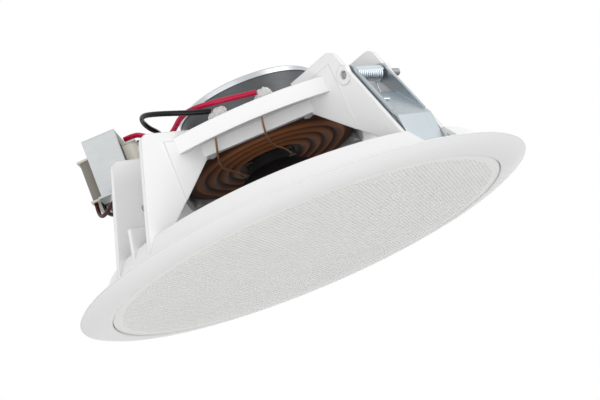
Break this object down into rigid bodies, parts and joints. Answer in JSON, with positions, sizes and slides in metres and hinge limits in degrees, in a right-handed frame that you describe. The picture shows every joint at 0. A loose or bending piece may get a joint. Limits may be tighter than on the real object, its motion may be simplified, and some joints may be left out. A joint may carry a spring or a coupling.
{
  "type": "in ceiling speaker",
  "caption": "Round in-ceiling loudspeaker with a white perforated grille, an open moulded basket, spring clamps, a ring magnet and a line transformer.",
  "frame": {"origin": "on the speaker's axis, in the plane of the flange's back face that lies against the ceiling", "axes": "+Z along the axis, up into the ceiling void; -Y towards the side that the picture shows, with the front clamp to its right and the transformer to its left"},
  "size_m": [0.23, 0.23, 0.0905],
  "materials": {
    "white_moulding": "satin white moulding",
    "white_steel": "white powder coat, perforated",
    "cone_paper": "black pressed paper",
    "surround_cloth": "black treated cloth",
    "spider_cloth": "brown resin cloth",
    "gasket_card": "black card",
    "coil_former": "thin foil",
    "copper": "copper",
    "zinc_steel": "blue zinc plate",
    "ferrite": "dark sintered ferrite",
    "lamination": "varnished laminations",
    "bobbin_plastic": "ivory nylon",
    "coil_tape": "ivory tape",
    "tinned_brass": "tinned",
    "adhesive": "clear hot-melt",
    "red_pvc": "red insulation",
    "black_pvc": "black insulation",
    "maroon_pvc": "maroon insulation",
    "tinsel": "copper braid",
    "block_nylon": "nylon"
  },
  "bodies": {
    "frame": {"basket_frame": "white_moulding", "grille": "white_steel", "surround": "surround_cloth", "surround_gasket": "gasket_card", "spider": "spider_cloth", "front_plate": "zinc_steel", "ferrite_magnet": "ferrite", "pole_yoke": "zinc_steel", "magnet_screws": "zinc_steel", "transformer_core": "lamination", "transformer_bobbin": "bobbin_plastic", "transformer_winding": "coil_tape", "transformer_bracket": "zinc_steel", "transformer_screws": "zinc_steel", "tag_rivets": "tinned_brass", "terminal_block": "block_nylon", "terminal_fixing_screw": "zinc_steel", "terminal_clamp_screws": "zinc_steel", "red_lead": "red_pvc", "black_lead": "black_pvc", "primary_lead_maroon": "maroon_pvc", "primary_lead_black": "black_pvc", "clamp_spring_front": "zinc_steel", "clamp_spring_rear": "zinc_steel", "clamp_pin_front": "zinc_steel", "clamp_pin_rear": "zinc_steel", "solder_tag_positive": "tinned_brass", "solder_tag_negative": "tinned_brass", "tinsel_lead_positive": "tinsel", "tinsel_lead_negative": "tinsel", "lead_bead_positive": "adhesive", "lead_bead_negative": "adhesive"},
    "moving_system": {"cone": "cone_paper", "dust_cap": "cone_paper", "voice_coil_former": "coil_former", "voice_coil_winding": "copper"},
    "front_clamp": {"clamp_arm_front": "zinc_steel"},
    "rear_clamp": {"clamp_arm_rear": "zinc_steel"}
  },
  "joints": [
    {"name": "cone_travel", "type": "slide", "parent": "frame", "child": "moving_system", "axis": [0, 0, 1], "range_m": [-0.0025, 0.0025], "stiffness_N_per_m": 2500, "deforming": ["surround", "spider", "tinsel_lead_positive", "tinsel_lead_negative"]},
    {"name": "front_clamp_swing", "type": "hinge", "parent": "frame", "child": "front_clamp", "pos_m": [0.05515, -0.05515, 0.05], "axis": [-0.7071, -0.7071, 0], "range_deg": [0, 150], "stiffness_Nm_per_rad": 0.06, "springref_deg": -57.3, "deforming": ["clamp_spring_front"]},
    {"name": "rear_clamp_swing", "type": "hinge", "parent": "frame", "child": "rear_clamp", "pos_m": [-0.05515, 0.05515, 0.05], "axis": [0.7071, 0.7071, 0], "range_deg": [0, 150], "stiffness_Nm_per_rad": 0.06, "springref_deg": -57.3, "deforming": ["clamp_spring_rear"]}
  ]
}
